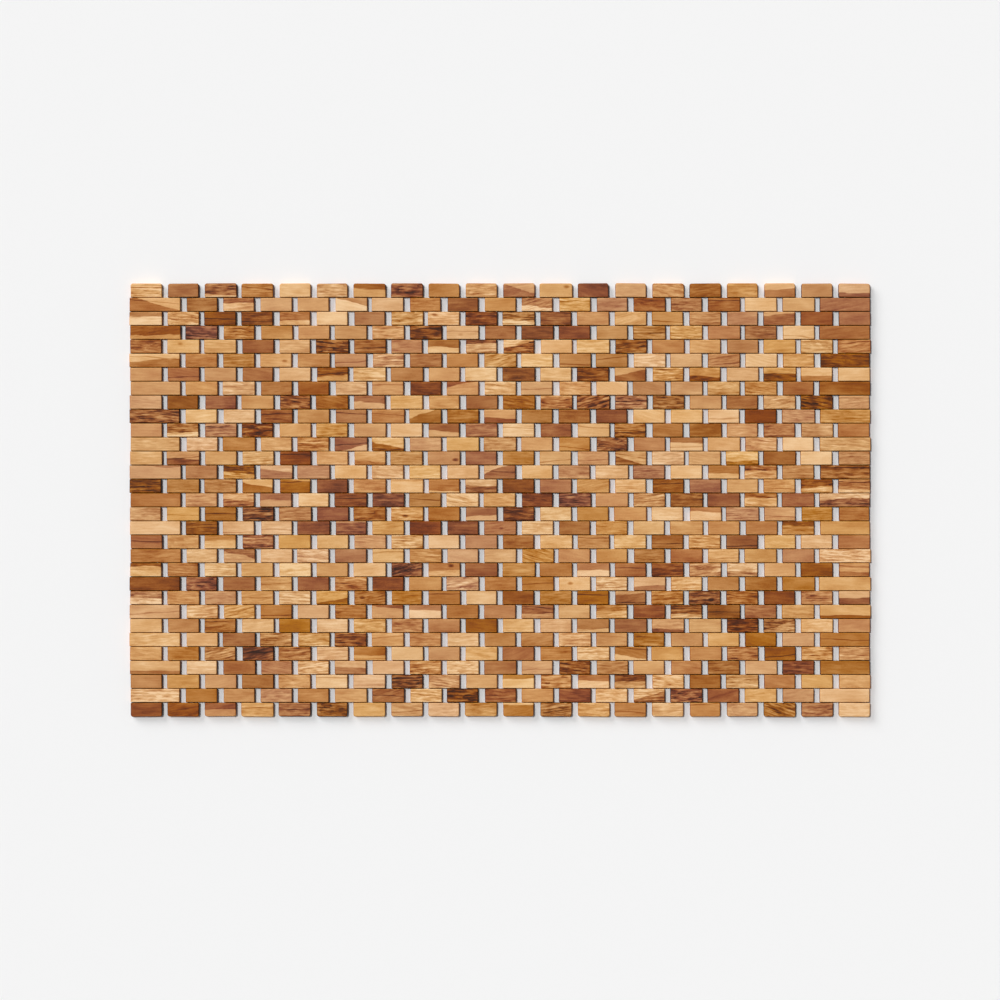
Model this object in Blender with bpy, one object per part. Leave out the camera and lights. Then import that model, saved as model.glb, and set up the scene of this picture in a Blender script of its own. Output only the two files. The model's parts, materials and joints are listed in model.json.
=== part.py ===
"""Bath mat of small wooden blocks, strung on hidden cords in a brick bond so that it rolls up.

The mat lies flat: its rows run along X, its underside is at Z = 0, and the origin is the middle
of the underside. Row 1 is at +Y and the last row at -Y. Sizes are in metres.
"""

import math

import bmesh
import bpy
from mathutils import Matrix, Vector

# Driving dimensions
MAT_LENGTH = 0.800  # along a row
THICKNESS = 0.008
ROW_COUNT = 31
ROW_WIDTH = 0.0142  # across one row's blocks
ROW_GAP = 0.0009  # between two rows, which lets them hinge
EDGE_ROW_BLOCKS = 20  # in the odd rows, whose blocks are all alike
BLOCK_GAP = 0.0064  # between two blocks of a row
CORD_RADIUS = 0.0008
HOLE_RADIUS = 0.0012
HOLE_SIDES = 8
GROOVE_DEPTH = 0.0024  # of the slot in the last row's outer face, which takes a cord's loop
GROOVE_MARGIN = 0.0002  # from a hole's wall to the groove's wall, above, below and at the ends
LOOP_INSET = 0.0013  # from the last row's outer face to the loop's centre line
LOOP_BEND_RADIUS = 0.0013
LOOP_BEND_STEPS = 3
CORD_END_INSET = 0.0003  # from the last row's inner face to where the cord's solid ends
TIE_RADIUS = 0.0009  # of the slim rod that holds a row's blocks together as one solid
TIE_SIDES = 3
OVERCUT = 0.001  # how far a cutter passes the face that it starts from

# Worked out from them
ROW_PITCH = ROW_WIDTH + ROW_GAP
MIDDLE_ROW = (ROW_COUNT + 1) // 2
BLOCK_LENGTH = (MAT_LENGTH - (EDGE_ROW_BLOCKS - 1) * BLOCK_GAP) / EDGE_ROW_BLOCKS
COLUMN_PITCH = BLOCK_LENGTH + BLOCK_GAP
CORD_SPACING = COLUMN_PITCH / 2  # a block has two cord holes, this far apart

# Colours: the wood runs from pale straw to reddish brown, row by row
WOOD_TONES = (
    (0.62, 0.36, 0.17),
    (0.72, 0.47, 0.24),
    (0.50, 0.26, 0.12),
    (0.66, 0.41, 0.20),
    (0.40, 0.19, 0.09),
)
CORD_COLOUR = (0.62, 0.55, 0.42)


def clear_scene():
    """Removes every object that the scene starts with."""
    for old in list(bpy.data.objects):
        bpy.data.objects.remove(old)


def add_object(name, data):
    """Links a new object to the scene."""
    added = bpy.data.objects.new(name, data)
    bpy.context.scene.collection.objects.link(added)
    return added


def add_guide(name, mesh):
    """Links an object that shapes others and isn't a part itself."""
    guide = add_object(name, mesh)
    guide.hide_render = True
    guide.display_type = "WIRE"
    return guide


def make_material(name, colour, roughness):
    """A plain Principled BSDF material."""
    material = bpy.data.materials.new(name)
    material.use_nodes = True
    shader = material.node_tree.nodes["Principled BSDF"]
    shader.inputs["Base Color"].default_value = (*colour, 1.0)
    shader.inputs["Roughness"].default_value = roughness
    shader.inputs["Metallic"].default_value = 0.0
    return material


def give_material(target, material):
    """Puts a material on the object itself, so that objects can share a mesh."""
    if not target.material_slots:
        target.data.materials.append(None)
    target.material_slots[0].link = "OBJECT"
    target.material_slots[0].material = material


def mesh_from(name, shape):
    """Turns a finished bmesh into a mesh."""
    mesh = bpy.data.meshes.new(name)
    shape.to_mesh(mesh)
    shape.free()
    return mesh


def add_box(shape, centre, size):
    """Adds a closed box to a bmesh."""
    place = Matrix.Translation(centre) @ Matrix.Diagonal((*size, 1.0))
    bmesh.ops.create_cube(shape, size=1.0, matrix=place)


def add_rod(shape, centre, length, radius, sides, axis):
    """Adds a closed prism along an axis to a bmesh."""
    turn = Vector((0, 0, 1)).rotation_difference(Vector(axis)).to_matrix().to_4x4()
    bmesh.ops.create_cone(
        shape,
        cap_ends=True,
        segments=sides,
        radius1=radius,
        radius2=radius,
        depth=length,
        matrix=Matrix.Translation(centre) @ turn,
    )


def column_centre(column):
    """X of the middle of a block of an odd row, counted from 0 at -X."""
    return -MAT_LENGTH / 2 + BLOCK_LENGTH / 2 + column * COLUMN_PITCH


def block_spans(is_edge_kind):
    """(start, end) in X of each block in a row.

    An odd row, the edge kind, has equal blocks. In an even row the gaps fall on the middles of
    the odd rows' blocks, which leaves a longer block at each end.
    """
    if is_edge_kind:
        gaps = [column_centre(c) + COLUMN_PITCH / 2 for c in range(EDGE_ROW_BLOCKS - 1)]
    else:
        gaps = [column_centre(c) for c in range(1, EDGE_ROW_BLOCKS - 1)]
    starts = [-MAT_LENGTH / 2] + [gap + BLOCK_GAP / 2 for gap in gaps]
    ends = [gap - BLOCK_GAP / 2 for gap in gaps] + [MAT_LENGTH / 2]
    return list(zip(starts, ends))


def blocks_mesh(is_edge_kind):
    """A row's blocks as separate boxes, centred on the row's middle."""
    shape = bmesh.new()
    for start, end in block_spans(is_edge_kind):
        add_box(shape, ((start + end) / 2, 0, 0), (end - start, ROW_WIDTH, THICKNESS))
    return mesh_from("blocks", shape)


def tie_mesh():
    """The rod that joins a row's blocks, from inside the first to inside the last."""
    shape = bmesh.new()
    length = MAT_LENGTH - BLOCK_LENGTH
    add_rod(shape, (0, 0, 0), length, TIE_RADIUS, TIE_SIDES, (1, 0, 0))
    return mesh_from("tie", shape)


def grooves_mesh():
    """The slots in the last row's outer face, one across each block's two holes."""
    shape = bmesh.new()
    height = 2 * (HOLE_RADIUS + GROOVE_MARGIN)
    size = (CORD_SPACING + height, GROOVE_DEPTH + OVERCUT, height)
    middle = -ROW_WIDTH / 2 + (GROOVE_DEPTH - OVERCUT) / 2
    for column in range(EDGE_ROW_BLOCKS):
        add_box(shape, (column_centre(column), middle, 0), size)
    return mesh_from("grooves", shape)


def holes_mesh():
    """The cord holes of the last row, two through each block."""
    shape = bmesh.new()
    start = -ROW_WIDTH / 2 + GROOVE_DEPTH - OVERCUT
    end = ROW_WIDTH / 2 + OVERCUT
    for column in range(EDGE_ROW_BLOCKS):
        for side in (-1, 1):
            x = column_centre(column) + side * CORD_SPACING / 2
            centre = (x, (start + end) / 2, 0)
            add_rod(shape, centre, end - start, HOLE_RADIUS, HOLE_SIDES, (0, 1, 0))
    return mesh_from("holes", shape)


def shaped_mesh(name, blocks, steps):
    """The closed mesh that the blocks become after each Boolean step."""
    blank = add_guide(name + "_blank", blocks)
    for operation, tool in steps:
        boolean = blank.modifiers.new(tool.name, "BOOLEAN")
        boolean.operation = operation
        boolean.solver = "EXACT"
        boolean.object = tool
    bpy.context.view_layer.update()
    evaluated = blank.evaluated_get(bpy.context.evaluated_depsgraph_get())
    mesh = bpy.data.meshes.new_from_object(evaluated)
    mesh.name = name
    bpy.data.objects.remove(blank)
    return mesh


def row_meshes():
    """The three kinds of row: odd, even, and the last, which carries the cords' loops."""
    tie = add_guide("tie_guide", tie_mesh())
    grooves = add_guide("groove_guide", grooves_mesh())
    holes = add_guide("hole_guide", holes_mesh())
    join = [("UNION", tie)]
    cut = [("DIFFERENCE", grooves), ("DIFFERENCE", holes)]
    meshes = {
        "odd": shaped_mesh("odd_row", blocks_mesh(True), join),
        "even": shaped_mesh("even_row", blocks_mesh(False), join),
        "last": shaped_mesh("last_row", blocks_mesh(True), join + cut),
    }
    for guide in (tie, grooves, holes):
        bpy.data.objects.remove(guide)
    return meshes


def row_y(row):
    """Y of a row's middle; the middle row is at 0."""
    return (MIDDLE_ROW - row) * ROW_PITCH


def add_fold_line(row, inner):
    """An empty on the hinge line between a row and its neighbour towards the middle row.

    It is parented to that neighbour's own empty, so turning one carries every row beyond it.
    """
    y = (row_y(row) + row_y(row + (1 if row < MIDDLE_ROW else -1))) / 2
    fold = add_object(f"fold_line_of_row_{row:02d}", None)
    fold.parent = inner
    inner_place = inner.matrix_world.translation if inner else Vector((0, 0, 0))
    fold.location = Vector((0, y, THICKNESS / 2)) - inner_place
    bpy.context.view_layer.update()
    return fold


def add_row(row, meshes, fold):
    """One row of blocks, placed from its hinge line."""
    kind = "last" if row == ROW_COUNT else ("odd" if row % 2 else "even")
    name = f"row_{row:02d}"
    placed = add_object(name, meshes[kind])
    placed.parent = fold
    centre = Vector((0, row_y(row), THICKNESS / 2))
    placed.location = centre - (fold.matrix_world.translation if fold else Vector((0, 0, 0)))
    give_material(placed, make_material(name, WOOD_TONES[row % len(WOOD_TONES)], 0.55))
    return placed


def loop_points():
    """Centre line of a cord in the last row, from the row's middle: leg, bend, loop, bend, leg."""
    inner_end = ROW_WIDTH / 2 - CORD_END_INSET
    bend_y = -ROW_WIDTH / 2 + LOOP_INSET + LOOP_BEND_RADIUS
    bend_x = CORD_SPACING / 2 - LOOP_BEND_RADIUS
    angles = [step * math.pi / 2 / LOOP_BEND_STEPS for step in range(LOOP_BEND_STEPS + 1)]
    bend = [
        (bend_x + LOOP_BEND_RADIUS * math.cos(a), bend_y - LOOP_BEND_RADIUS * math.sin(a))
        for a in angles
    ]
    right = [(CORD_SPACING / 2, inner_end)] + bend
    left = [(-x, y) for x, y in reversed(right)]
    return right + left


def cord_curve():
    """The bevelled curve that every cord shares."""
    curve = bpy.data.curves.new("cord", "CURVE")
    curve.dimensions = "3D"
    curve.bevel_depth = CORD_RADIUS
    curve.bevel_resolution = 1
    curve.use_fill_caps = True
    points = loop_points()
    spline = curve.splines.new("POLY")
    spline.points.add(len(points) - 1)
    for point, (x, y) in zip(spline.points, points):
        point.co = (x, y, 0, 1)
    return curve


def add_cords(last_row):
    """The cords, each a loop in the groove of one block of the last row."""
    curve = cord_curve()
    for column in range(EDGE_ROW_BLOCKS):
        name = f"cord_{column + 1:02d}"
        cord = add_object(name, curve)
        cord.parent = last_row
        cord.location = (column_centre(column), 0, 0)
        give_material(cord, make_material(name, CORD_COLOUR, 0.8))


def build_mat():
    """Builds the rows outwards from the middle one, then the cords."""
    clear_scene()
    meshes = row_meshes()
    add_row(MIDDLE_ROW, meshes, None)
    fold = None
    for row in range(MIDDLE_ROW - 1, 0, -1):
        fold = add_fold_line(row, fold)
        add_row(row, meshes, fold)
    fold = None
    for row in range(MIDDLE_ROW + 1, ROW_COUNT + 1):
        fold = add_fold_line(row, fold)
        last_row = add_row(row, meshes, fold)
    add_cords(last_row)


build_mat()
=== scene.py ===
import json
import math

import bmesh
import bpy
import numpy as np
from mathutils import Matrix, Vector

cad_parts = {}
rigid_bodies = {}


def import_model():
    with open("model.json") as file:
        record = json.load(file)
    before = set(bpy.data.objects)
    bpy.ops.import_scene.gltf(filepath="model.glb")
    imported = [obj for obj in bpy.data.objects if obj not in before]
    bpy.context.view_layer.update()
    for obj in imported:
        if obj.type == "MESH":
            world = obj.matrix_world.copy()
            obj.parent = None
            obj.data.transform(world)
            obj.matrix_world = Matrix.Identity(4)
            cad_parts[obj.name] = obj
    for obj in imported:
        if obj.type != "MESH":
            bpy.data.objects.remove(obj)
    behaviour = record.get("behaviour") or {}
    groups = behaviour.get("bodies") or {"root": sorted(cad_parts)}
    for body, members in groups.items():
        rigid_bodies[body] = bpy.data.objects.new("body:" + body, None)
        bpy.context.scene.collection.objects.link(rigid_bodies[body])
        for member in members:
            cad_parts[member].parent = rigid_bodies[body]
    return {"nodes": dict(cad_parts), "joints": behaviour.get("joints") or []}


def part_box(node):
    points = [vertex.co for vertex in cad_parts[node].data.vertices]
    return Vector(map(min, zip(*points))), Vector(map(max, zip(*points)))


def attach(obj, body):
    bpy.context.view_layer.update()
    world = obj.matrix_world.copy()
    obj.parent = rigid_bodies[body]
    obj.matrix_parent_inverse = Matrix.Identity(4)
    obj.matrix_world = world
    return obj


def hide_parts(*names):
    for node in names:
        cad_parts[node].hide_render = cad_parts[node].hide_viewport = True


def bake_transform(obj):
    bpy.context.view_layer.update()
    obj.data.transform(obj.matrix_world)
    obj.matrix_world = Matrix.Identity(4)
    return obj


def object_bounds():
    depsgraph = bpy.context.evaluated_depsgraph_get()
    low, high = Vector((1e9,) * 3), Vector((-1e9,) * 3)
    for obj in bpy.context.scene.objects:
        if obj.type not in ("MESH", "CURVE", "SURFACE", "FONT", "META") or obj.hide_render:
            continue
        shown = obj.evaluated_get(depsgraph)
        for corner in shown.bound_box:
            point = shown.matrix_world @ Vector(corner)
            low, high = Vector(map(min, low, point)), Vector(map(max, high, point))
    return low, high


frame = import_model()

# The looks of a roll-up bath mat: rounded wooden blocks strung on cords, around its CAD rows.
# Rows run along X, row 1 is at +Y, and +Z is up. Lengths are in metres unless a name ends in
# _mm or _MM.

# Shape of a block
END_ARRIS_RADIUS = 0.0012  # where the top or the bottom meets an end
SIDE_ARRIS_RADIUS = 0.0007  # where it meets a long side
UPRIGHT_ARRIS_RADIUS = 0.0004  # where an end meets a long side
ARRIS_STEPS = 3
SIDE_CROWN = 0.00036  # how far a long side stands out at mid thickness
OUTER_CORNER_RADIUS = 0.0021  # at the mat's two long edges
OUTER_CORNER_STEPS = 6
HOLE_RADIUS = 0.0012
HOLE_SIDES = 14
BLIND_HOLE_DEPTH = 0.0110
GROOVE_DEPTH = 0.0020
GROOVE_MARGIN = 0.0002
OVERCUT = 0.001
SHARP_ANGLE = math.radians(40)

# How far blocks stray from their size and place
END_STRAY = 0.0008
END_SKEW = 0.012  # slope of an end's cut
SIDE_STRAY = 0.00004
YAW = 0.003  # in radians
EDGE_ROW_YAW = 0.012
EDGE_ROW_STRAY = 0.0005
SUNKEN_TOP = 0.00022
TOP_TILT = 0.003  # slope of the top face

# The grain of a block: angles in radians, and its place in the log
SLANTED_SHARE = 0.2  # of the blocks
SLANTED_GRAIN = 0.15
STRAIGHT_GRAIN = 0.035
GRAIN_PITCH = 0.03
PITH_DISTANCE_MM = (25, 110)
PLANK_REACH_MM = 4000

# Two-tone blocks and dark lines: slopes across the block, leans through it
TWO_TONE_SHARE = 0.15  # of the blocks
WEDGE_SHARE = 0.25  # of the two-tone blocks
WEDGE_SLOPE = (0.12, 0.35)
BORDER_SLOPE = 0.04
BORDER_LEAN = 0.4
BORDER_REACH = 0.3  # from the middle of a block, as a share of its width
LINED_SHARE = 0.20
LINE_SLOPE = 0.05
LINE_LEAN = 0.3
LINE_REACH = 0.4
FAR_MM = 50.0  # from a border or a line that the block doesn't have

# Tones, knots, tint and the painted shade on the side faces
HEARTWOOD_TONE = (0.08, 0.45)
SAPWOOD_STEP = (0.4, 0.7)  # how much paler than the heartwood
MOST_FIGURE = 2.1
LEAST_FIGURE_ROOT = 0.1  # the figure goes by the cube of a draw from here to 1
KNOTTY_SHARE = 0.05
KNOT_TO_END_MM = 4
KNOT_REACH_MM = (5, 3)  # across the block and through it
NO_KNOT_MM = (0.0, 500.0, 0.0)  # the place of a knot that the block doesn't have
TINT_LIMIT = 1.6  # on a draw whose spread is 1
SEAM_SHADE = (-0.2, 1.3)  # strength of the painted shade on the side faces, drawn per block; below 0 it is painted light and they are paler than the top

# Cords
LOOP_INSET = 0.0011
LOOP_BEND_RADIUS = 0.0013
LOOP_BEND_STEPS = 8
CORD_SIDES = 12
CORD_STRANDS = 3
STRAND_DEPTH = 0.13  # how much a strand stands out, as a share of the cord's radius
STRAND_TURN = 0.0062  # length of cord in which a strand goes round once
CORD_STEP = 0.0006
CORD_SHARP_ANGLE = math.radians(60)
CAD_CORD_CORNER = math.radians(60)  # how far round its section the CAD cord's lowest corners are
RUN_STEPS = 14
RUN_END_GAP = 0.00005

SEED = 41
MM = 1000.0
SAME_HEIGHT = 1e-5  # heights this near each other count as one


# ---------------------------------------------------------------- the frame's sizes


def row_spans(node):
    """(start, end) in X of each block of a CAD row, read from the corners of its top face."""
    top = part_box(node)[1].z
    points = [v.co for v in frame["nodes"][node].data.vertices]
    ends = sorted({round(p.x, 6) for p in points if p.z > top - SAME_HEIGHT})
    return list(zip(ends[0::2], ends[1::2]))


row_names = sorted(name for name in frame["nodes"] if name.startswith("row_"))
cord_names = sorted(name for name in frame["nodes"] if name.startswith("cord_"))
first_row, last_row = row_names[0], row_names[-1]
mat_low, mat_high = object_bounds()
block_low, block_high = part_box(first_row)
block_size = block_high - block_low
thickness = block_size.z
cord_boxes = [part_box(name) for name in cord_names]
hinge_z = frame["joints"][0]["pos_m"][2]
cord_radius = (hinge_z - cord_boxes[0][0].z) / math.sin(CAD_CORD_CORNER)
cord_lines = [x for low, high in cord_boxes for x in (low.x + cord_radius, high.x - cord_radius)]


# ---------------------------------------------------------------- blocks


def add_object(name, data):
    """Links a new object to the scene."""
    added = bpy.data.objects.new(name, data)
    bpy.context.scene.collection.objects.link(added)
    return added


def mesh_from(name, shape):
    """Turns a finished bmesh into a mesh."""
    mesh = bpy.data.meshes.new(name)
    shape.to_mesh(mesh)
    shape.free()
    return mesh


def block_outline(length, outer_side):
    """A block's plan, anticlockwise; outer_side is the sign of Y where its corners are rounder."""
    plan = []
    for turn, (sign_x, sign_y) in enumerate(((1, 1), (-1, 1), (-1, -1), (1, -1))):
        is_outer = sign_y == outer_side
        radius = OUTER_CORNER_RADIUS if is_outer else UPRIGHT_ARRIS_RADIUS
        steps = OUTER_CORNER_STEPS if is_outer else ARRIS_STEPS
        centre_x = sign_x * (length / 2 - radius)
        centre_y = sign_y * (block_size.y / 2 - radius)
        for step in range(steps + 1):
            angle = math.pi / 2 * (turn + step / steps)
            plan.append((centre_x + radius * math.cos(angle), centre_y + radius * math.sin(angle)))
    return plan


def block_rings(length, outer_side):
    """Rings of points up a block: its plan drawn in at the arrises and out at mid thickness."""
    half_x, half_y = length / 2, block_size.y / 2
    top = []
    for step in range(ARRIS_STEPS + 1):
        angle = math.pi / 2 * step / ARRIS_STEPS
        inward = 1 - math.cos(angle)
        scale_x = 1 - END_ARRIS_RADIUS * inward / half_x
        scale_y = 1 - SIDE_ARRIS_RADIUS * inward / half_y
        top.append((scale_x, scale_y, thickness / 2 - SIDE_ARRIS_RADIUS * (1 - math.sin(angle))))
    bottom = [(scale_x, scale_y, -z) for scale_x, scale_y, z in reversed(top)]
    middle = [(1.0, 1 + SIDE_CROWN / half_y, 0.0)]
    plan = block_outline(length, outer_side)
    levels = bottom + middle + top
    return [[(x * scale_x, y * scale_y, z) for x, y in plan] for scale_x, scale_y, z in levels]


def rounded_block(length, outer_side):
    """A block with rounded arrises and slightly crowned long sides."""
    rings = block_rings(length, outer_side)
    count = len(rings[0])
    shape = bmesh.new()
    corners = [[shape.verts.new(point) for point in ring] for ring in rings]
    for lower, upper in zip(corners, corners[1:]):
        for i in range(count):
            after = (i + 1) % count
            shape.faces.new((lower[i], lower[after], upper[after], upper[i]))
    shape.faces.new(reversed(corners[0]))
    shape.faces.new(corners[-1])
    return mesh_from("block", shape)


def rod_cutter(xs, start_y, end_y):
    """Drills along Y, at each X of a block."""
    shape = bmesh.new()
    turn = Matrix.Rotation(math.pi / 2, 4, "X")
    for x in xs:
        place = Matrix.Translation((x, (start_y + end_y) / 2, 0)) @ turn
        bmesh.ops.create_cone(
            shape, cap_ends=True, segments=HOLE_SIDES, radius1=HOLE_RADIUS, radius2=HOLE_RADIUS,
            depth=end_y - start_y, matrix=place,
        )
    return mesh_from("drill", shape)


def groove_cutter(xs):
    """A round-ended slot across a block's holes, in its -Y face."""
    shape = bmesh.new()
    half_height = HOLE_RADIUS + GROOVE_MARGIN
    outline = []
    for centre, first_angle in ((max(xs), -math.pi / 2), (min(xs), math.pi / 2)):
        for step in range(HOLE_SIDES // 2 + 1):
            angle = first_angle + math.pi * step / (HOLE_SIDES // 2)
            outline.append((centre + half_height * math.cos(angle), half_height * math.sin(angle)))
    outer_y = -block_size.y / 2 - OVERCUT
    face = shape.faces.new([shape.verts.new((x, outer_y, z)) for x, z in outline])
    made = bmesh.ops.extrude_face_region(shape, geom=[face])["geom"]
    inner = [v for v in made if isinstance(v, bmesh.types.BMVert)]
    bmesh.ops.translate(shape, verts=inner, vec=(0, GROOVE_DEPTH + OVERCUT, 0))
    bmesh.ops.recalc_face_normals(shape, faces=shape.faces)
    return mesh_from("groove", shape)


def lowest_first(face):
    """The same face, its corners counted from the lowest one."""
    start = face.index(min(face))
    return face[start:] + face[:start]


def block_shape(length, xs, row):
    """Corner points and faces of one kind of block, with its cord holes at these X.

    The faces are sorted, because a Boolean's order of faces can change from run to run.
    """
    outer_side = 1 if row == first_row else (-1 if row == last_row else 0)
    blank = add_object("blank", rounded_block(length, outer_side))
    near = -block_size.y / 2 - OVERCUT
    far = -near
    if row == first_row:
        far = -block_size.y / 2 + BLIND_HOLE_DEPTH
    tools = [rod_cutter(xs, near, far)]
    if row == last_row:
        tools.insert(0, groove_cutter(xs))
    cutters = [add_object("cutter", tool) for tool in tools]
    for cutter in cutters:
        boolean = blank.modifiers.new("cut", "BOOLEAN")
        boolean.operation = "DIFFERENCE"
        boolean.solver = "EXACT"
        boolean.object = cutter
    bpy.context.view_layer.update()
    evaluated = blank.evaluated_get(bpy.context.evaluated_depsgraph_get())
    mesh = evaluated.to_mesh()
    points = np.array([v.co for v in mesh.vertices])
    faces = sorted(lowest_first(tuple(p.vertices)) for p in mesh.polygons)
    evaluated.to_mesh_clear()
    for spent in (blank, *cutters):
        bpy.data.objects.remove(spent)
    return points, faces


def stray_points(points, length, hole_reach, row, draw):
    """The block's points once it is cut a little off size and sits a little off its place."""
    moved = points.copy()
    x, y, z = points.T
    at_end = np.abs(x) > hole_reach
    left, right = draw.uniform(-END_STRAY, END_STRAY, 2)
    skew = draw.uniform(-END_SKEW, END_SKEW)
    moved[:, 0] += at_end * (np.where(x < 0, left, right) + skew * y)
    sunk = draw.uniform(0, SUNKEN_TOP)
    tilt_x, tilt_y = draw.uniform(-TOP_TILT, TOP_TILT, 2)
    drop = sunk + np.abs(tilt_x) * length / 4 + tilt_x * x / 2 + tilt_y * y
    moved[:, 2] -= (z > thickness / 4) * drop
    if row in (first_row, last_row):
        outward = 1 if row == first_row else -1
        yaw = draw.uniform(-EDGE_ROW_YAW, EDGE_ROW_YAW)
        share = 0.5 + outward * y / block_size.y
        aside = outward * (abs(yaw) * length / 2 + draw.uniform(0, EDGE_ROW_STRAY) * share)
    else:
        yaw = draw.uniform(-YAW, YAW)
        aside = draw.uniform(-SIDE_STRAY, SIDE_STRAY)
    moved[:, 1] += aside + yaw * x
    return moved


def plank_points(points, draw):
    """Where each point lay in the plank that the block was cut from, in mm from the log's pith."""
    is_slanted = draw.random() < SLANTED_SHARE
    yaw = draw.normal(0, SLANTED_GRAIN if is_slanted else STRAIGHT_GRAIN)
    pitch = draw.normal(0, GRAIN_PITCH)
    turn = Matrix.Rotation(yaw, 3, "Z") @ Matrix.Rotation(pitch, 3, "Y")
    distance, angle = draw.uniform(*PITH_DISTANCE_MM), draw.uniform(0, 2 * math.pi)
    along = draw.uniform(-PLANK_REACH_MM, PLANK_REACH_MM)
    offset = (along, distance * math.cos(angle), distance * math.sin(angle))
    return points @ np.array(turn) * MM + np.array(offset)


def border_distance(points, draw):
    """Distance in mm from the border between heartwood and sapwood; far away on most blocks."""
    if draw.random() > TWO_TONE_SHARE:
        return np.full(len(points), FAR_MM)
    x, y, z = points.T * MM
    if draw.random() < WEDGE_SHARE:
        slope = draw.choice([-1, 1]) * draw.uniform(*WEDGE_SLOPE)
    else:
        slope = draw.normal(0, BORDER_SLOPE)
    offset = draw.uniform(-BORDER_REACH, BORDER_REACH) * block_size.y * MM
    side = draw.choice([-1, 1])
    return side * (y - offset - slope * x + draw.normal(0, BORDER_LEAN) * z)


def line_distance(points, draw):
    """Distance in mm from a thin dark line along the grain; far away on most blocks."""
    if draw.random() > LINED_SHARE:
        return np.full(len(points), FAR_MM)
    x, y, z = points.T * MM
    offset = draw.uniform(-LINE_REACH, LINE_REACH) * block_size.y * MM
    return y - offset - draw.normal(0, LINE_SLOPE) * x + draw.normal(0, LINE_LEAN) * z


def block_tones(draw, is_two_tone):
    """Main tone, second tone and strength of the figure: 0 is reddish brown and 1 pale straw."""
    main = draw.uniform(0.0, 1.0)
    second = main
    if is_two_tone:
        main = draw.uniform(*HEARTWOOD_TONE)
        second = main + draw.uniform(*SAPWOOD_STEP)
    figure = draw.uniform(LEAST_FIGURE_ROOT, 1.0) ** 3 * MOST_FIGURE
    return main, second, figure


def knot_point(length, draw):
    """Middle of a block's knot in its own mm; out of reach on all but a few blocks."""
    if draw.random() > KNOTTY_SHARE:
        return NO_KNOT_MM
    reaches = (length * MM / 2 - KNOT_TO_END_MM, *KNOT_REACH_MM)
    return tuple(draw.uniform(-reach, reach) for reach in reaches)


def block_fields(points, length, xs, row, draw):
    """What a block's points carry: their place in the row, and all that the wood's material reads.

    The order of the entries is the order of the random draws.
    """
    size = len(points)
    hole_reach = max(abs(x) for x in xs) + HOLE_RADIUS + 2 * GROOVE_MARGIN
    moved = stray_points(points, length, hole_reach, row, draw)
    border = border_distance(points, draw)
    is_two_tone = border[0] != FAR_MM
    return {
        "co": moved,
        "grain_at": plank_points(points, draw),
        "local_at": points * MM,
        "half_mm": np.full(size, length * MM / 2),
        "tones": np.tile(block_tones(draw, is_two_tone), (size, 1)),
        "split_mm": border,
        "line_mm": line_distance(points, draw),
        "knot_at": np.tile(knot_point(length, draw), (size, 1)),
        "tint": np.full(size, np.clip(draw.normal(0, 1), -TINT_LIMIT, TINT_LIMIT)),
        # how strong the painted shade on this block's side faces is; below 0 it is painted light
        "soil_and_shade": np.full(size, draw.uniform(*SEAM_SHADE)),
    }


def set_attribute(mesh, name, kind, values):
    """Stores a number or a vector for each point of a mesh."""
    attribute = mesh.attributes.new(name, kind, "POINT")
    field = "value" if kind == "FLOAT" else "vector"
    attribute.data.foreach_set(field, np.ascontiguousarray(values, np.float32).ravel())


def row_mesh(name, blocks, faces):
    """One mesh of all the blocks of a row, from each block's fields and the faces."""
    joined = {field: np.concatenate([block[field] for block in blocks]) for field in blocks[0]}
    mesh = bpy.data.meshes.new(name)
    mesh.from_pydata(joined.pop("co").tolist(), [], faces)
    for field, values in joined.items():
        set_attribute(mesh, field, "FLOAT" if values.ndim == 1 else "FLOAT_VECTOR", values)
    mesh.shade_smooth()
    mesh.set_sharp_from_angle(angle=SHARP_ANGLE)
    return mesh


def build_row(row, shapes, draw):
    """One row's blocks as a piece: separate rounded blocks, each with its own tone and grain."""
    centre = sum(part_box(row), Vector()) / 2
    blocks, faces = [], []
    count = 0
    for start, end in row_spans(row):
        middle, length = (start + end) / 2, end - start
        xs = tuple(round(x - middle, 6) for x in cord_lines if start < x < end)
        key = (round(length, 6), xs, row if row in (first_row, last_row) else "inner")
        if key not in shapes:
            shapes[key] = block_shape(length, xs, row)
        points, block_faces = shapes[key]
        fields = block_fields(points, length, xs, row, draw)
        fields["co"] += np.array((middle, centre.y, centre.z))
        blocks.append(fields)
        faces += [tuple(v + count for v in face) for face in block_faces]
        count += len(points)
    name = "blocks_of_" + row
    piece = add_object(name, row_mesh(name, blocks, faces))
    normals = piece.modifiers.new("normals", "WEIGHTED_NORMAL")
    normals.keep_sharp = True
    return piece


# ---------------------------------------------------------------- cords


def add_twisted_tube(path, points, faces):
    """Adds a cord of twisted strands along a path of points, closed at both ends."""
    first = len(points)
    travelled = 0.0
    up = Vector((0, 0, 1))
    for i, middle in enumerate(path):
        if i:
            travelled += (middle - path[i - 1]).length
        along = (path[min(i + 1, len(path) - 1)] - path[max(i - 1, 0)]).normalized()
        across = along.cross(up).normalized()
        turn = 2 * math.pi * travelled / STRAND_TURN
        for side in range(CORD_SIDES):
            angle = 2 * math.pi * side / CORD_SIDES
            bulge = 1 - STRAND_DEPTH * (0.5 - 0.5 * math.cos(CORD_STRANDS * (angle - turn)))
            radius = cord_radius * bulge
            points.append(middle + radius * (math.cos(angle) * across + math.sin(angle) * up))
    for i in range(len(path) - 1):
        ring = first + i * CORD_SIDES
        for side in range(CORD_SIDES):
            after = (side + 1) % CORD_SIDES
            faces.append(
                (ring + side, ring + after, ring + CORD_SIDES + after, ring + CORD_SIDES + side)
            )
    last = first + (len(path) - 1) * CORD_SIDES
    faces.append(tuple(reversed(range(first, first + CORD_SIDES))))
    faces.append(tuple(range(last, last + CORD_SIDES)))


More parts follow.
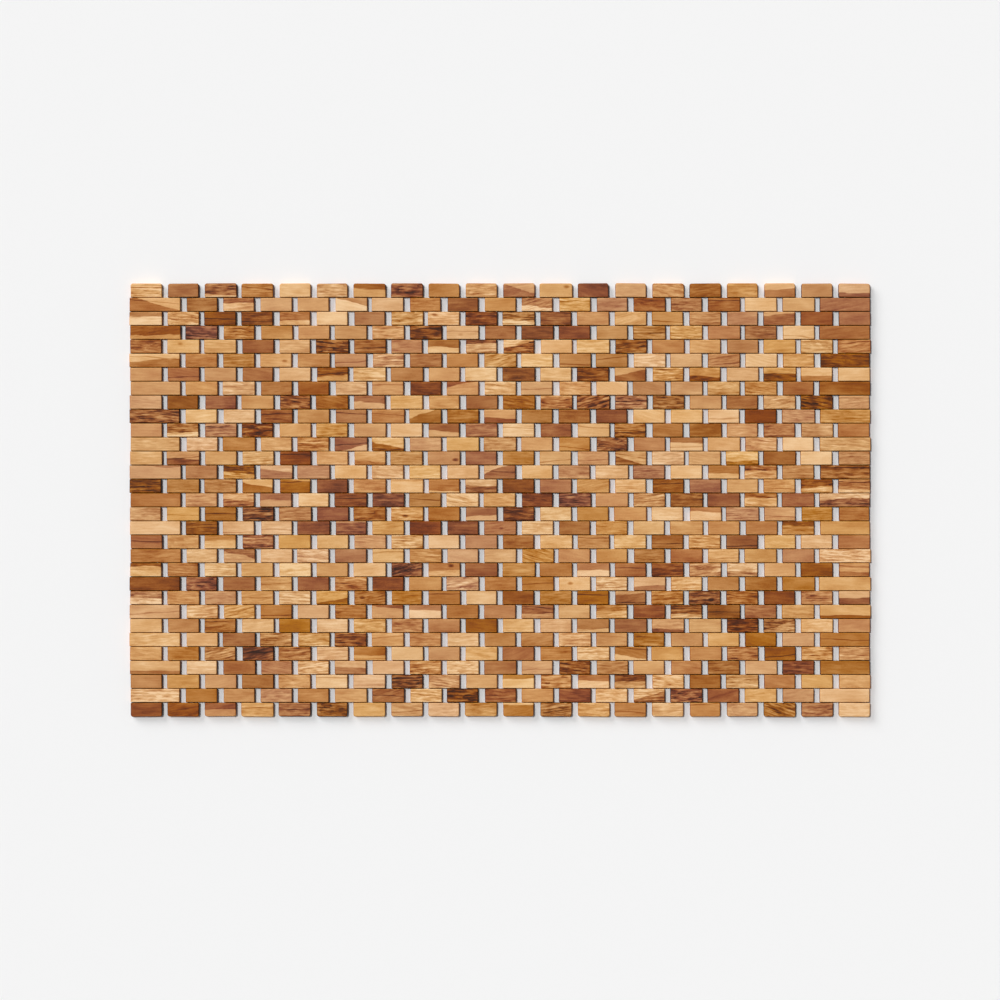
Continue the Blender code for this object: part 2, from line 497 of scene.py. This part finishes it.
def tube_mesh(name, points, faces):
    """A smooth mesh of one or more tubes."""
    mesh = bpy.data.meshes.new(name)
    mesh.from_pydata([tuple(p) for p in points], [], faces)
    shape = bmesh.new()
    shape.from_mesh(mesh)
    bmesh.ops.recalc_face_normals(shape, faces=shape.faces)
    shape.to_mesh(mesh)
    shape.free()
    mesh.shade_smooth()
    mesh.set_sharp_from_angle(angle=CORD_SHARP_ANGLE)
    return mesh


def straight_run(start, end):
    """Points of a straight line, both ends included."""
    steps = max(1, round((Vector(end) - Vector(start)).length / CORD_STEP))
    return [Vector(start).lerp(Vector(end), i / steps) for i in range(steps + 1)]


def loop_path(low, high, row_box):
    """A cord's line in the last row: down one hole, along the groove and back up the other."""
    z = (row_box[0].z + row_box[1].z) / 2
    left, right = low.x + cord_radius, high.x - cord_radius
    top_y = (row_box[0].y + row_box[1].y) / 2 + RUN_END_GAP
    bend_y = row_box[0].y + LOOP_INSET + LOOP_BEND_RADIUS
    angles = [step * math.pi / 2 / LOOP_BEND_STEPS for step in range(LOOP_BEND_STEPS + 1)]
    bend = [(1 - math.cos(a), math.sin(a)) for a in angles]
    leg = straight_run((left, top_y, z), (left, bend_y, z))[:-1]
    down = leg + [
        Vector((left + LOOP_BEND_RADIUS * u, bend_y - LOOP_BEND_RADIUS * v, z)) for u, v in bend
    ]
    up = [Vector((left + right - p.x, p.y, z)) for p in reversed(down)]
    return down + straight_run(down[-1], up[0])[1:-1] + up


def build_cord_loops(material):
    """Each cord's loop in the last row, with the stretch of its two legs up to the row's middle."""
    row_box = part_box(last_row)
    for name, (low, high) in zip(cord_names, cord_boxes):
        points, faces = [], []
        add_twisted_tube(loop_path(low, high, row_box), points, faces)
        loop = add_object(name.replace("cord", "cord_loop"), tube_mesh(name, points, faces))
        loop.data.materials.append(material)
        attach(loop, last_row)
        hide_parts(name)


def build_cord_runs(material):
    """The cords between the middles of two rows, across the hinge line: one piece a hinge."""
    for joint in frame["joints"]:
        hinge = Vector(joint["pos_m"])
        upper, lower = sorted((joint["parent"], joint["child"]))
        top_y = sum(c.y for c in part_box(upper)) / 2
        low_y = sum(c.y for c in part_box(lower)) / 2
        points, faces = [], []
        shares = [i / RUN_STEPS for i in range(RUN_STEPS + 1)]
        for x in cord_lines:
            start = Vector((x, top_y - RUN_END_GAP, hinge.z))
            end = Vector((x, low_y + RUN_END_GAP, hinge.z))
            path = [start.lerp(end, share) for share in shares]
            add_twisted_tube(path, points, faces)
        name = joint["name"].replace("fold", "cords_at_fold")
        run = add_object(name, tube_mesh(name, points, faces))
        run.data.materials.append(material)
        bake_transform(run)


# ---------------------------------------------------------------- materials


def srgb(red, green, blue):
    """A display colour of 0 to 255 as a linear one."""
    shares = [value / 255 for value in (red, green, blue)]
    linear = [s / 12.92 if s <= 0.04045 else ((s + 0.055) / 1.055) ** 2.4 for s in shares]
    return (*linear, 1.0)


# Wood from its darkest streak to its palest sapwood: (tone, colour)
WOOD_RAMP = (
    (-0.45, srgb(50, 22, 8)),
    (-0.15, srgb(98, 45, 14)),
    (0.02, srgb(135, 69, 24)),
    (0.12, srgb(151, 85, 35)),
    (0.28, srgb(172, 110, 56)),
    (0.50, srgb(193, 135, 81)),
    (0.74, srgb(213, 161, 104)),
    (0.90, srgb(226, 178, 124)),
    (1.15, srgb(242, 203, 155)),
)

# Noises in the wood: scale in 1 / mm along the grain and twice across it, detail, roughness
WOOD_NOISES = {
    "warp": ((0.035, 0.16, 0.16), 3.0, 0.5),
    "broad": ((0.03, 0.07, 0.07), 1.0, 0.5),
    "streak": ((0.025, 0.6, 0.6), 3.0, 0.5),
    "mottle": ((0.09, 0.42, 0.42), 2.0, 0.55),
    "fibre": ((0.8, 3.6, 3.6), 3.0, 0.65),
    "pore": ((0.6, 7.0, 7.0), 1.0, 0.5),
}

# How much each feature adds to the wood's tone
TONE_SHARES = {
    "broad": 0.55,
    "streak": 0.60,
    "late_wood": -0.22,
    "mottle": 0.75,
    "fibre": 0.42,
    "pore": -0.14,
    "border_line": -0.15,
    "dark_line": -0.38,
    # a pale rim at the arrises: lighter worn wood with a painted highlight
    "wear_and_highlight": 0.12,
    # painted shade on the side and end faces, scaled by each block's draw
    "groove": -0.45,
    # darker end grain, and painted shade at the blocks' ends
    "end_grain_and_shade": -0.50,
    "knot": -0.55,
}

# Distances in mm between which a feature comes up or fades out
BORDER_MM = (-0.35, 0.35)
BORDER_LINE_MM = (0.0, 0.8)
DARK_LINE_MM = (0.15, 0.75)
# a pale rim at the arrises: lighter worn wood with a painted highlight
WEAR_AND_HIGHLIGHT_MM = (0.35, 1.1)
# darker end grain, and painted shade at the blocks' ends
END_GRAIN_AND_SHADE_MM = (0.05, 0.95)
# painted warm bounce light: a richer, slightly paler band just under the top face
PAINTED_BOUNCE_START_MM = (0.0, 0.3)
PAINTED_BOUNCE_END_MM = (0.7, 1.6)
# depths below the top face over which the painted shade on the side faces comes up
SEAM_SHADE_MM = (0.1, 0.9)
KNOT_MM = (1.6, 3.4)
KNOT_SHAPE = (0.55, 1.0, 0.6)  # scale of its distances, so that it is long and flat
PORE_NOISE = (0.62, 0.74)  # values of the noise between which a pore comes up

# How far the noises push a border, a line and a knot in mm, and the rings in rings
BORDER_RAGGED = 2.5
BORDER_WARP = 6.0
LINE_WARP = 4.0
KNOT_WARP = 1.5
RING_WARP = 3.2
RINGS_PER_MM = 0.42
LATE_WOOD_POWER = 3.0

PLAIN_CONTRAST = 0.38  # of the streaks in a block without figure
END_GRAIN_CALM = -0.7  # what end grain adds to the contrast's factor

# What tint, the painted seam shade, darker end grain with its painted shade and the painted warm
# bounce light add to the colour's hue and to its other two factors
TINT_TONES = (0.0, 0.65)  # the tint is stronger in dark wood than in pale wood
TINT_STRENGTHS = (1.2, 0.58)
TINT_HUE = 0.0033
TINT_SATURATION = 0.034
SEAM_SHADE_SATURATION = -0.065
PLAIN_SATURATION = 1.046
END_GRAIN_AND_SHADE_SATURATION = -0.06
# richer and paler colour of the painted warm bounce light under the top face
PAINTED_BOUNCE_SATURATION = 0.12
PAINTED_BOUNCE_VALUE = 0.04

WOOD_SPECULAR = 0.15
WOOD_ROUGHNESS = 0.44
FIBRE_ROUGHNESS = 0.24
GROOVE_ROUGHNESS = 0.4
PORE_RELIEF = -1.2
STREAK_RELIEF = 0.8
WOOD_BUMP = (0.35, 0.00018)  # strength and distance

CORD_FIBRE = 5200.0  # scale in 1 / m
CORD_SOIL = 240.0
CORD_SHEEN = 0.15
CORD_BUMP = (0.4, 0.0001)
CORD_COLOUR = srgb(158, 134, 102)
CORD_ROUGHNESS = 0.75
LOOP_RAMP = ((0.0, srgb(140, 116, 86)), (0.5, srgb(196, 174, 140)), (1.0, srgb(220, 203, 172)))
LOOP_FIBRE_SHARE = 0.8
LOOP_ROUGHNESS = (0.2, 0.65)  # the fibres' share in it, and its least


class Graph:
    """A material's nodes, with short calls for the kinds that the materials here use."""

    def __init__(self, name):
        self.material = bpy.data.materials.new(name)
        self.material.use_nodes = True
        self.tree = self.material.node_tree
        self.shader = self.tree.nodes["Principled BSDF"]

    def put(self, socket, value):
        """Links a socket to another node's output, or sets it to a value."""
        if isinstance(value, bpy.types.NodeSocket):
            self.tree.links.new(value, socket)
        else:
            socket.default_value = value

    def attribute(self, name, output="Fac"):
        node = self.tree.nodes.new("ShaderNodeAttribute")
        node.attribute_name = name
        return node.outputs[output]

    def math(self, operation, first, second=0.0, third=0.0):
        node = self.tree.nodes.new("ShaderNodeMath")
        node.operation = operation
        for socket, value in zip(node.inputs, (first, second, third)):
            self.put(socket, value)
        return node.outputs[0]

    def vector(self, operation, first, second=(0.0, 0.0, 0.0), output="Vector"):
        node = self.tree.nodes.new("ShaderNodeVectorMath")
        node.operation = operation
        self.put(node.inputs[0], first)
        self.put(node.inputs[1], second)
        return node.outputs[output]

    def parts(self, vector):
        node = self.tree.nodes.new("ShaderNodeSeparateXYZ")
        self.put(node.inputs[0], vector)
        return node.outputs[0], node.outputs[1], node.outputs[2]

    def noise(self, place, stretch, detail=2.0, roughness=0.5):
        """Noise of 0 to 1 whose grain is 1 / stretch mm along each axis."""
        node = self.tree.nodes.new("ShaderNodeTexNoise")
        self.put(node.inputs["Vector"], self.vector("MULTIPLY", place, stretch))
        node.inputs["Scale"].default_value = 1.0
        node.inputs["Detail"].default_value = detail
        node.inputs["Roughness"].default_value = roughness
        return node.outputs["Fac"]

    def swing(self, noise):
        """A noise of 0 to 1 as one around 0."""
        return self.math("SUBTRACT", noise, 0.5)

    def remap(self, value, from_low, from_high, to_low, to_high, smooth=False):
        node = self.tree.nodes.new("ShaderNodeMapRange")
        node.interpolation_type = "SMOOTHSTEP" if smooth else "LINEAR"
        for socket, given in zip(node.inputs, (value, from_low, from_high, to_low, to_high)):
            self.put(socket, given)
        return node.outputs[0]

    def rise(self, value, start, end):
        """0 below start and 1 above end."""
        return self.remap(value, start, end, 0.0, 1.0, smooth=True)

    def fall(self, value, start, end):
        """1 below start and 0 above end."""
        return self.remap(value, start, end, 1.0, 0.0, smooth=True)

    def mix(self, share, first, second):
        """A mix of two numbers; the node's input 1 is for vectors."""
        node = self.tree.nodes.new("ShaderNodeMix")
        for index, value in ((0, share), (2, first), (3, second)):
            self.put(node.inputs[index], value)
        return node.outputs[0]

    def ramp(self, value, stops):
        """A colour ramp over stops of (position, colour), whose positions may pass 0 and 1."""
        low, high = stops[0][0], stops[-1][0]
        node = self.tree.nodes.new("ShaderNodeValToRGB")
        self.put(node.inputs[0], self.remap(value, low, high, 0.0, 1.0))
        elements = node.color_ramp.elements
        while len(elements) < len(stops):
            elements.new(0.5)
        for element, (position, colour) in zip(elements, stops):
            element.position = (position - low) / (high - low)
            element.color = colour
        return node.outputs[0]

    def tinted(self, colour, hue, saturation, value):
        node = self.tree.nodes.new("ShaderNodeHueSaturation")
        self.put(node.inputs["Hue"], hue)
        self.put(node.inputs["Saturation"], saturation)
        self.put(node.inputs["Value"], value)
        self.put(node.inputs["Color"], colour)
        return node.outputs[0]

    def bump(self, height, strength, distance):
        node = self.tree.nodes.new("ShaderNodeBump")
        node.inputs["Strength"].default_value = strength
        node.inputs["Distance"].default_value = distance
        self.put(node.inputs["Height"], height)
        self.put(self.shader.inputs["Normal"], node.outputs[0])


def border_tone(g, noise, main, second):
    """The tone on each side of a two-tone block's border, and how near the border is, 0 to 1."""
    streak = g.swing(noise["streak"])
    ragged = g.math("MULTIPLY_ADD", streak, BORDER_RAGGED, g.attribute("split_mm"))
    border = g.math("MULTIPLY_ADD", g.swing(noise["warp"]), BORDER_WARP, ragged)
    tone = g.mix(g.rise(border, *BORDER_MM), second, main)
    return tone, g.fall(g.math("ABSOLUTE", border), *BORDER_LINE_MM)


def dark_line(g, noise):
    """A thin dark line along the grain, 0 to 1."""
    line_at = g.math("MULTIPLY_ADD", g.swing(noise["warp"]), LINE_WARP, g.attribute("line_mm"))
    return g.fall(g.math("ABSOLUTE", line_at), *DARK_LINE_MM)


def late_wood(g, noise, grain):
    """The growth rings' dark side, 0 to 1."""
    from_pith = g.vector("LENGTH", g.vector("MULTIPLY", grain, (0.0, 1.0, 1.0)), output="Value")
    rings = g.math("MULTIPLY", from_pith, RINGS_PER_MM)
    ring_count = g.math("MULTIPLY_ADD", noise["warp"], RING_WARP, rings)
    return g.math("POWER", g.math("FRACT", ring_count), LATE_WOOD_POWER)


def knot(g, noise, local):
    """A small dark knot, 0 to 1."""
    gap = g.vector("SUBTRACT", local, g.attribute("knot_at", "Vector"))
    distance = g.vector("LENGTH", g.vector("MULTIPLY", gap, KNOT_SHAPE), output="Value")
    return g.fall(g.math("MULTIPLY_ADD", noise["warp"], KNOT_WARP, distance), *KNOT_MM)


def edge_features(g, local):
    """Marks near a block's edges, where 0 is none: lighter wear with a painted highlight at the
    arrises, darker end grain with painted shade at the ends, painted shade on the side faces scaled
    by each block's draw, and a painted warm bounce light just under the top face.
    """
    x, y, z = g.parts(g.vector("ABSOLUTE", local))
    from_end = g.math("SUBTRACT", g.attribute("half_mm"), x)
    from_side = g.math("SUBTRACT", block_size.y * MM / 2, y)
    from_face = g.math("SUBTRACT", thickness * MM / 2, z)
    nearer = g.math("MINIMUM", from_end, from_side)
    farther = g.math("MAXIMUM", from_end, from_side)
    from_arris = g.math("MAXIMUM", nearer, g.math("MINIMUM", farther, from_face))
    painted_bounce_end = g.rise(from_face, *PAINTED_BOUNCE_END_MM)
    return {
        "wear_and_highlight": g.fall(from_arris, *WEAR_AND_HIGHLIGHT_MM),
        "end_grain_and_shade": g.fall(from_end, *END_GRAIN_AND_SHADE_MM),
        # painted shade on the side and end faces, scaled by each block's draw; painted light where
        # the draw is below 0
        "groove": g.math("MULTIPLY", g.rise(from_face, *SEAM_SHADE_MM), g.attribute("soil_and_shade")),
        "painted_bounce": g.math("SUBTRACT", g.rise(from_face, *PAINTED_BOUNCE_START_MM), painted_bounce_end),
    }


def wood_colour(g, tone, features):
    """The ramp's colour, tinted a little from block to block; duller on blocks with more painted
    seam shade and at the ends, and richer and a little paler in the painted bounce light under the
    top face.
    """
    strength = g.remap(tone, *TINT_TONES, *TINT_STRENGTHS)
    tint = g.math("MULTIPLY", g.attribute("tint"), strength)
    hue = g.math("MULTIPLY_ADD", tint, TINT_HUE, 0.5)
    saturation = g.math("MULTIPLY_ADD", g.attribute("soil_and_shade"), SEAM_SHADE_SATURATION, PLAIN_SATURATION)
    shares = (
        (features["end_grain_and_shade"], END_GRAIN_AND_SHADE_SATURATION),
        (features["painted_bounce"], PAINTED_BOUNCE_SATURATION),
        (tint, TINT_SATURATION),
    )
    for amount, share in shares:
        saturation = g.math("MULTIPLY_ADD", amount, share, saturation)
    value = g.math("MULTIPLY_ADD", features["painted_bounce"], PAINTED_BOUNCE_VALUE, 1.0)
    return g.tinted(g.ramp(tone, WOOD_RAMP), hue, saturation, value)


def wood_material():
    """Oiled, sanded teak: a tone that the features add up to, turned into a colour."""
    g = Graph("oiled_teak")
    grain = g.attribute("grain_at", "Vector")
    local = g.attribute("local_at", "Vector")
    main, second, figure = g.parts(g.attribute("tones", "Vector"))
    noise = {name: g.noise(grain, *settings) for name, settings in WOOD_NOISES.items()}
    tone, border_line = border_tone(g, noise, main, second)
    edges = edge_features(g, local)
    calm = g.math("MULTIPLY_ADD", edges["end_grain_and_shade"], END_GRAIN_CALM, 1.0)
    contrast = g.math("MULTIPLY", g.math("ADD", figure, PLAIN_CONTRAST), calm)
    features = {
        **edges,
        "broad": g.swing(noise["broad"]),
        "streak": g.math("MULTIPLY", g.swing(noise["streak"]), contrast),
        "late_wood": g.math("MULTIPLY", late_wood(g, noise, grain), figure),
        "mottle": g.math("MULTIPLY", g.swing(noise["mottle"]), contrast),
        "fibre": g.swing(noise["fibre"]),
        "pore": g.remap(noise["pore"], *PORE_NOISE, 0.0, 1.0),
        "border_line": border_line,
        "dark_line": dark_line(g, noise),
        "knot": knot(g, noise, local),
    }
    for name, share in TONE_SHARES.items():
        tone = g.math("MULTIPLY_ADD", features[name], share, tone)
    g.put(g.shader.inputs["Base Color"], wood_colour(g, tone, features))

    g.shader.inputs["Specular IOR Level"].default_value = WOOD_SPECULAR
    rough = g.math("MULTIPLY_ADD", noise["fibre"], FIBRE_ROUGHNESS, WOOD_ROUGHNESS)
    rough = g.math("MULTIPLY_ADD", features["groove"], GROOVE_ROUGHNESS, rough)
    g.put(g.shader.inputs["Roughness"], rough)
    relief = g.math("MULTIPLY_ADD", noise["streak"], STREAK_RELIEF, noise["fibre"])
    relief = g.math("MULTIPLY_ADD", features["pore"], PORE_RELIEF, relief)
    g.bump(relief, *WOOD_BUMP)
    return g.material


def start_cord(name):
    """A cord's material with its sheen and the bump of its fibres, for the rest to be added."""
    g = Graph(name)
    place = g.tree.nodes.new("ShaderNodeTexCoord").outputs["Object"]
    fibre = g.noise(place, (CORD_FIBRE, CORD_FIBRE, CORD_FIBRE))
    g.shader.inputs["Sheen Weight"].default_value = CORD_SHEEN
    g.bump(fibre, *CORD_BUMP)
    return g, place, fibre


def cord_material():
    """Natural polyester cord; its strands are in the mesh and its fibres in the bump."""
    g, _, _ = start_cord("cord")
    g.shader.inputs["Base Color"].default_value = CORD_COLOUR
    g.shader.inputs["Roughness"].default_value = CORD_ROUGHNESS
    return g.material


def loop_material():
    """The same cord where it shows at the mat's edge, a little soiled in its hollows."""
    g, place, fibre = start_cord("cord_loop")
    soil_and_shade = g.noise(place, (CORD_SOIL, CORD_SOIL, CORD_SOIL), detail=3.0)
    shade = g.math("MULTIPLY_ADD", g.swing(fibre), LOOP_FIBRE_SHARE, soil_and_shade)
    g.put(g.shader.inputs["Base Color"], g.ramp(shade, LOOP_RAMP))
    g.put(g.shader.inputs["Roughness"], g.math("MULTIPLY_ADD", fibre, *LOOP_ROUGHNESS))
    return g.material


# ---------------------------------------------------------------- studio

CAMERA_HEIGHT = 5.0
FRAME_WIDTH = 1.0811  # of the view, at the height of the mat's top face
SENSOR = 0.036
FLOOR_SIZE = 30.0
FLOOR_GAP = 0.0002  # between the floor and the mat
FLOOR_COLOUR = (0.90, 0.90, 0.90, 1.0)
FLOOR_ROUGHNESS = 0.9
SKY_AT_HORIZON = 0.90
SKY_OVERHEAD = 0.13
SKY_FADE = (0.10, 0.24)  # heights of the sky, 0 to 1, between which it fades
# Name, energy, width in degrees and the direction that the light comes from
LIGHTS = (
    ("overhead", 1.82, 8, (-0.22, 0.17, 1.0)),
    ("key", 1.75, 36, (-0.85, 0.80, 0.75)),
)


def build_floor():
    """A plain pale floor."""
    shape = bmesh.new()
    bmesh.ops.create_grid(shape, x_segments=1, y_segments=1, size=FLOOR_SIZE / 2)
    floor = add_object("floor", mesh_from("floor", shape))
    floor.location.z = mat_low.z - FLOOR_GAP
    g = Graph("floor")
    g.shader.inputs["Base Color"].default_value = FLOOR_COLOUR
    g.shader.inputs["Roughness"].default_value = FLOOR_ROUGHNESS
    g.shader.inputs["Specular IOR Level"].default_value = 0.0
    floor.data.materials.append(g.material)


def build_sky():
    """A white sky, brighter at the horizon than overhead."""
    world = bpy.data.worlds.new("sky")
    world.use_nodes = True
    tree = world.node_tree
    direction = tree.nodes.new("ShaderNodeTexCoord").outputs["Generated"]
    height = tree.nodes.new("ShaderNodeSeparateXYZ")
    fade = tree.nodes.new("ShaderNodeMapRange")
    fade.interpolation_type = "SMOOTHSTEP"
    for socket, value in zip(fade.inputs[1:5], (*SKY_FADE, SKY_AT_HORIZON, SKY_OVERHEAD)):
        socket.default_value = value
    tree.links.new(direction, height.inputs[0])
    tree.links.new(height.outputs["Z"], fade.inputs[0])
    tree.links.new(fade.outputs[0], tree.nodes["Background"].inputs["Strength"])
    tree.nodes["Background"].inputs["Color"].default_value = (1.0, 1.0, 1.0, 1.0)
    bpy.context.scene.world = world


def build_lights():
    """A soft light from above, and a softer one from the upper left."""
    for name, energy, angle, direction in LIGHTS:
        lamp = bpy.data.lights.new(name, "SUN")
        lamp.energy = energy
        lamp.angle = math.radians(angle)
        light = add_object(name, lamp)
        light.rotation_euler = Vector(direction).to_track_quat("Z", "Y").to_euler()


def build_camera():
    """A camera straight above the mat, as in the photo."""
    camera = bpy.data.cameras.new("camera")
    camera.sensor_width = SENSOR * MM
    camera.lens = SENSOR * MM * (CAMERA_HEIGHT - thickness) / FRAME_WIDTH
    viewer = add_object("camera", camera)
    viewer.location = (0, 0, CAMERA_HEIGHT)
    bpy.context.scene.camera = viewer
    bpy.context.scene.view_settings.view_transform = "Standard"


# ---------------------------------------------------------------- the whole


def build_mat():
    """Every row's blocks, then the cords."""
    draw = np.random.default_rng(SEED)
    wood = wood_material()
    shapes = {}
    for row in row_names:
        blocks = build_row(row, shapes, draw)
        blocks.data.materials.append(wood)
        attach(blocks, row)
        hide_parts(row)
    build_cord_loops(loop_material())
    build_cord_runs(cord_material())


build_mat()
build_floor()
build_sky()
build_lights()
build_camera()
